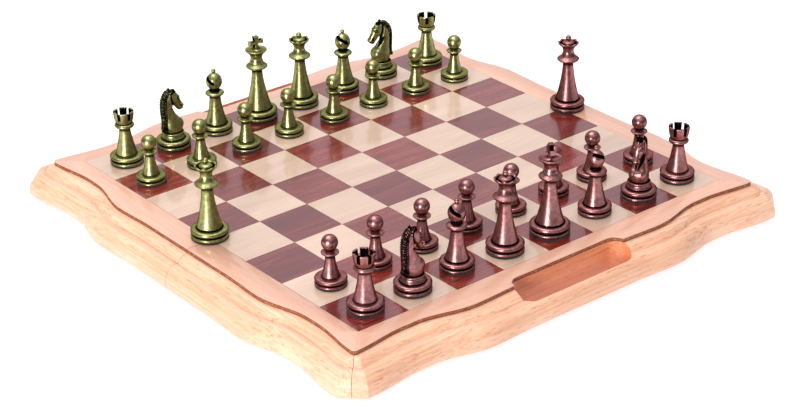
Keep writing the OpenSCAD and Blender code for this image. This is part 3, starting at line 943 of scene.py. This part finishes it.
def ear(side):
    sections = [(-0.8, 43.2, 1.7, 1.3, 20), (-0.7, 44.8, 1.75, 1.3, 14), (-0.5, 46.1, 1.45, 1.05, 8),
                (-0.3, 47.1, 0.9, 0.65, 4), (-0.2, 47.8, 0.15, 0.12, 0)]
    obj = loft("ear", [tuple(r) for r in spline(sections, 3)], 18)
    obj.data.transform(Matrix.Translation((0, side * 1.9 * MM, 0)))
    return obj


def groove_depth(p):
    """How deep the groove between jaw and neck is at a point, 0 to 1."""
    best = 0.0
    for (x0, z0, w0), (x1, z1, w1) in zip(JAW_GROOVE, JAW_GROOVE[1:]):
        dx, dz = x1 - x0, z1 - z0
        t = min(1, max(0, ((p.x - x0) * dx + (p.z - z0) * dz) / (dx * dx + dz * dz)))
        off = math.hypot(p.x - x0 - t * dx, p.z - z0 - t * dz)
        width = w0 + (w1 - w0) * t
        best = max(best, smooth(1.3 - off / (width + 0.25)))
    return best * smooth((abs(p.y) - 0.6) / 0.8)


def throat_depth(p, normal):
    """Hollow under the jaw that narrows down the front of the neck, with a ridge along its middle."""
    if normal.x < 0.05 or not 19 < p.z < 33.5 or p.x > 8.2:
        return 0.0
    wide = 3.4 * smooth((p.z - 19.2) / 10)
    ridge = smooth((0.75 - abs(p.y)) / 0.4) * smooth((31 - p.z) / 3)
    return smooth((wide - abs(p.y)) / 0.7 + 0.5) * (1 - 0.8 * ridge)


def muzzle_ink(p):
    """Black mouth line and nostrils."""
    along = ((p.x - 8.8) * 0.82 + (p.z - 29.0) * 0.57)
    mouth = smooth((0.5 - abs(along + 0.9)) / 0.3) if p.x > 6.9 and p.z < 31 else 0.0
    nostril = smooth((1.2 - (p - Vector((9.8, math.copysign(1.9, p.y), 30.3))).length) / 0.5)
    return max(mouth, nostril)


def face_ink(p):
    """Black round the eyes, in front of the ears and over the forelock."""
    side = math.copysign(1.0, p.y)
    eye = (p - Vector((4.9, side * 2.9, 39.4))).length
    ring = smooth((1.75 - eye) / 0.4) * smooth((eye - 0.75) / 0.3)
    lock = smooth((2.9 - (p - Vector((1.7, 0, 45.0))).length) / 0.6)
    hollow = smooth((1.3 - (p - Vector((0.4, side * 2.5, 46.0))).length) / 0.4)
    return max(ring, lock, hollow)


def horse_ink(p, normal):
    """Painted patina of the horse."""
    if p.z < 13.0:
        return 0.0
    near, place = min((math.hypot(p.x - x, p.z - z), i) for i, (x, z) in enumerate(MANE_LINE))
    mane = 0.0
    if near < 1.75 and abs(p.y) < 3:
        share = place / (len(MANE_LINE) - 1)
        glint = noise.noise(p * 1.7) + 0.3 * lock_wave(share, min(1.0, abs(p.y) / 2.2))
        mane = 0.72 - 0.9 * glint + 0.3 * smooth((share - 0.8) / 0.2)
    elif near < 2.15 + 0.8 * smooth((24 - p.z) / 6) and abs(p.y) < 3.2 and p.x < 0:
        mane = 0.95
    return max(mane, groove_depth(p), throat_depth(p, normal), muzzle_ink(p), face_ink(p))


def knight_solid():
    r = RADII["knight"]
    turned_foot, turned = turned_man(
        "knight_foot", foot("knight")
        + inked([(0.70 * r, 8.3), (0.665 * r, 9.0), (0.62 * r, 9.9), (0.60 * r, 10.7)])
        + inked([(0.605 * r, 11.1)], 0.6)
        + inked([(0.635 * r, 11.35), (0.65 * r, 11.8), (0.635 * r, 12.3)])
        + inked([(0.58 * r, 12.5), (0.53 * r, 12.6)], 0.8) + inked([(0.3 * r, 12.8), (0, 12.9)]))
    parts = [loft("neck", [tuple(x) for x in spline(NECK, 5)], 44, 2.3),
             loft("head", [tuple(x) for x in spline(HEAD, 5)], 32, 2.3), ear(1), ear(-1),
             blob("forelock", (2.0, 0, 45.0), (2.1, 1.25, 1.7)),
             blob("curl", (3.6, 0, 43.6), (1.5, 1.0, 1.2)), blob("crest", (-4.0, 0, 41.3), (2.9, 2.0, 3.3))]
    for side in (1, -1):
        parts += [blob("cheek", (2.9, side * 1.6, 36.9), (3.3, 2.1, 3.3)),
                  blob("eye_ridge", (5.0, side * 2.3, 40.4), (1.6, 1.0, 0.75)),
                  blob("eye", (4.9, side * 2.75, 39.4), (0.75, 0.6, 0.65)),
                  blob("nostril", (9.1, side * 1.4, 30.7), (1.0, 0.95, 0.9)),
                  blob("shoulder", (2.6, side * 2.6, 18.2), (5.0, 3.8, 5.6))]
    horse = join(parts)
    remesh = horse.modifiers.new("skin", "REMESH")
    remesh.mode = "VOXEL"
    remesh.voxel_size = 0.3 * MM
    relax = horse.modifiers.new("relax", "SMOOTH")
    relax.factor = 0.6
    relax.iterations = 5
    apply_modifiers(horse)
    moves = []
    for v in horse.data.vertices:
        p, depth = v.co / MM, 0.0
        if p.z > 14:
            depth = 0.85 * groove_depth(p) + 0.9 * throat_depth(p, v.normal) + 0.35 * muzzle_ink(p)
        moves.append(v.co - v.normal * depth * MM)
    for v, moved in zip(horse.data.vertices, moves):
        v.co = moved
    knight = join([turned_foot, horse, mane_solid()])
    for v in knight.data.vertices:
        above = max(0.0, v.co.z - HORSE_FOOT * MM)
        v.co.z -= (1 - HORSE_SQUASH) * above

    def ink(p, normal):
        if p.z < HORSE_FOOT + 0.2:
            return turned(p, normal)
        return horse_ink(Vector((p.x, p.y, HORSE_FOOT + (p.z - HORSE_FOOT) / HORSE_SQUASH)), normal)
    return knight, ink


# ---- Blackened hollows ----

def hemisphere(count, seed):
    """Even directions over a half sphere about +Z."""
    rng = random.Random(seed)
    made = []
    for i in range(count):
        z = math.sqrt((i + rng.random()) / count)
        a = 2 * math.pi * ((i * 0.618034) % 1)
        made.append(Vector((math.sqrt(1 - z * z) * math.cos(a), math.sqrt(1 - z * z) * math.sin(a), z)))
    return made


def mark_recesses(obj, ink, reach=2.6, rays=28):
    """Stores at each vertex how enclosed it is, or how much patina it holds if that is more."""
    mesh = obj.data
    bm = bmesh.new()
    bm.from_mesh(mesh)
    tree = BVHTree.FromBMesh(bm)
    bm.free()
    directions = hemisphere(rays, 4)
    # Turned surfaces repeat round the axis, so points that look alike are traced once
    cache, values = {}, []
    for v in mesh.vertices:
        radius = math.hypot(v.co.x, v.co.y)
        outward = (v.normal.x * v.co.x + v.normal.y * v.co.y) / max(radius, 1e-6)
        key = (round(radius * 2e5), round(v.co.z * 2e5), round(v.normal.z * 50), round(outward * 50))
        if key not in cache:
            turn = v.normal.to_track_quat("Z", "Y")
            start = v.co + v.normal * 0.00004
            blocked = 0.0
            for d in directions:
                hit = tree.ray_cast(start, turn @ d, reach * MM)
                if hit[0] is not None:
                    blocked += 1 - 0.5 * hit[3] / (reach * MM)
            cache[key] = blocked / rays
        values.append(max(cache[key], ink(v.co / MM, v.normal)))
    attribute = mesh.attributes.new("recess", "FLOAT", "POINT")
    attribute.data.foreach_set("value", values)
    return obj


# ---- Men on the board ----

BUILDERS = {"king": king_solid, "queen": queen_solid, "bishop": bishop_solid, "knight": knight_solid,
            "rook": rook_solid, "pawn": pawn_solid}
# Degrees that a man is turned about its own axis, as in the CAD model
TURNS = {"copper_knight_b": 8, "copper_knight_g": 205, "brass_knight_b": 6, "brass_knight_g": 165,
         "copper_king": 60, "brass_bishop_c": 95, "brass_bishop_f": 141, "copper_bishop_c": 120,
         "copper_bishop_f": 198, "brass_rook_a": 30, "brass_rook_h": 54, "copper_rook_a": 22,
         "copper_rook_h": 21}


def felt_disc(kind):
    """Felt under a man, a hair above the squares so that the two never share a surface."""
    r, low, high = 0.985 * RADII[kind], 0.02, FELT_T - 0.03
    profile = [(0, low), (0.99 * r, low), (r, 0.2), (r, FELT_T - 0.25), (0.99 * r, high), (0, high)]
    return lathe(kind + "_felt", rounded_profile(profile, 1), 64)


def make_men(metals, cloth):
    """Every man of the frame, from one casting for each metal and kind and one disc for each kind."""
    castings, discs = {}, {}
    for kind, build in BUILDERS.items():
        obj = soften(mark_recesses(*build()), 50)
        for metal in metals:
            mesh = obj.data.copy()
            mesh.name = f"{metal}_{kind}_casting"
            mesh.materials.clear()
            mesh.materials.append(metals[metal])
            castings[metal, kind] = mesh
        bpy.data.objects.remove(obj)
        disc = soften(felt_disc(kind), 50)
        disc.data.materials.append(cloth)
        discs[kind] = disc.data
        bpy.data.objects.remove(disc)
    for node in NODES:
        metal = node.split("_")[0]
        if metal not in metals:
            continue
        kind = next(kind for kind in BUILDERS if kind in node)
        lo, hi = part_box(node)
        where = Vector(((lo.x + hi.x) / 2, (lo.y + hi.y) / 2, lo.z))
        turn = math.radians(TURNS.get(node, 0))
        for part, mesh, slot_name in (("casting", castings[metal, kind], "antique_" + metal),
                                      ("felt", discs[kind], "felt")):
            obj = show(f"{node}_{part}", mesh)
            obj.location = where
            obj.rotation_euler = (0, 0, turn)
            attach(obj, node)
            if part == "casting":
                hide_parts(node)


# ---- Materials on the pieces ----

beech_x, beech_y = rail_wood("x"), rail_wood("y")
board_edge = fibreboard()
border = border_veneer()
black_felt = felt("black_felt", (0.008, 0.008, 0.009))
tray_felt = felt("tray_felt", (0.012, 0.045, 0.022))
brass_plate = plated("hinge_plate", (0.62, 0.50, 0.27), (0.30, 0.22, 0.10))
nickel = plated("magnet_nickel", (0.60, 0.60, 0.61), (0.40, 0.40, 0.40))
METALS = {"brass": antique("antique_brass", (0.21, 0.215, 0.070), (0.42, 0.43, 0.20),
                           (0.006, 0.006, 0.005)),
          "copper": antique("antique_copper", (0.235, 0.092, 0.088), (0.42, 0.205, 0.200),
                            (0.008, 0.004, 0.004))}

for half in BODIES:
    make_rails(half, beech_x, beech_y)
    make_plate(half, board_edge, border)
    make_lining(half, tray_felt)
make_men(METALS, black_felt)

# Nodes that keep their CAD shape, by the end of their names
CARRIED = {"seam_wall": beech_x, "light_squares": light_veneer(), "dark_squares": dark_veneer(),
           "magnets": nickel, "hinge_leaves": brass_plate, "hinge_screws": brass_plate, "pads": black_felt,
           "hinge_pins": nickel}
for node, obj in NODES.items():
    for ending, material in CARRIED.items():
        if node.endswith(ending):
            paint(obj, material)


# ---- Studio, in metres ----

FLOOR_REACH = 12
SWEEP_AZIMUTH = math.radians(38)
SWEEP_LIGHT, CEILING_LIGHT, SIDE_LIGHT = 0.80, 0.9, 0.16
CAMERA_AZIMUTH, CAMERA_ELEVATION, CAMERA_ROLL = (math.radians(a) for a in (-38.6, 26.94, -1.15))
CAMERA_DISTANCE, CAMERA_LENS = 1.4374, 93.83
CAMERA_AIM = Vector((-0.0317, -0.0427, Z_TOP * MM + 0.0002))


def pale_floor():
    """Wide floor that glows a little, so that it stays pale in the board's shadow."""
    n = Nodes("studio_floor")
    n.set(Base_Color=(0.55, 0.55, 0.56), Roughness=0.7, Emission_Color=(0.96, 0.94, 1.0),
          Emission_Strength=0.66)
    reach = FLOOR_REACH / MM
    verts = [(-reach, -reach, 0), (reach, -reach, 0), (reach, reach, 0), (-reach, reach, 0)]
    obj = new_object("floor", verts, [(0, 1, 2, 3)])
    obj.data.materials.append(n.material)


def softbox(name, position, target, size, power):
    """Rectangular area light that faces the target."""
    data = bpy.data.lights.new(name, "AREA")
    data.shape = "RECTANGLE"
    data.size, data.size_y = size
    data.energy = power
    obj = show(name, data)
    obj.location = position
    obj.rotation_euler = (Vector(target) - Vector(position)).to_track_quat("-Z", "Y").to_euler()


def surroundings():
    """Light from all round: a bright sweep behind the board, a bright ceiling and darker sides."""
    world = bpy.data.worlds.new("studio")
    n = Nodes("studio", world)
    direction = n.add("ShaderNodeTexCoord").outputs["Generated"]
    towards = n.vector("DOT_PRODUCT", direction, (math.sin(SWEEP_AZIMUTH), math.cos(SWEEP_AZIMUTH), 0))
    height = separate(n, direction)[2]
    sweep = n.math("MULTIPLY", n.ramp(towards, (0.25, 0.0), (0.75, 1.0)), SWEEP_LIGHT)
    ceiling = n.math("MULTIPLY", n.ramp(height, (0.45, 0.0), (0.95, 1.0)), CEILING_LIGHT)
    n.set(Color=(1.0, 0.96, 1.0), Strength=n.math("ADD", n.math("ADD", sweep, ceiling), SIDE_LIGHT))
    bpy.context.scene.world = world


def studio():
    """Floor, world, a soft top light and a low side light that draws a bright streak on the metals."""
    pale_floor()
    surroundings()
    softbox("top_box", (-0.3, 0.3, 2.4), (0, 0, 0), (1.6, 1.6), 38)
    softbox("key_box", (-2.75, -1.35, 0.55), (0, 0, 0.03), (0.5, 0.95), 84)
    bpy.context.scene.view_settings.view_transform = "Standard"


def camera():
    """Camera at the photograph's angle."""
    level = math.cos(CAMERA_ELEVATION)
    back = Vector((math.sin(CAMERA_AZIMUTH) * level, -math.cos(CAMERA_AZIMUTH) * level,
                   math.sin(CAMERA_ELEVATION)))
    right = (-back).cross(Vector((0, 0, 1))).normalized()
    up = right.cross(-back)
    across = right * math.cos(CAMERA_ROLL) + up * math.sin(CAMERA_ROLL)
    upward = up * math.cos(CAMERA_ROLL) - right * math.sin(CAMERA_ROLL)
    data = bpy.data.cameras.new("camera")
    data.lens, data.sensor_width = CAMERA_LENS, 36.0
    obj = show("camera", data)
    stand = Matrix.Translation(CAMERA_AIM + back * CAMERA_DISTANCE)
    obj.matrix_world = stand @ Matrix((across, upward, back)).transposed().to_4x4()
    bpy.context.scene.camera = obj


studio()
camera()
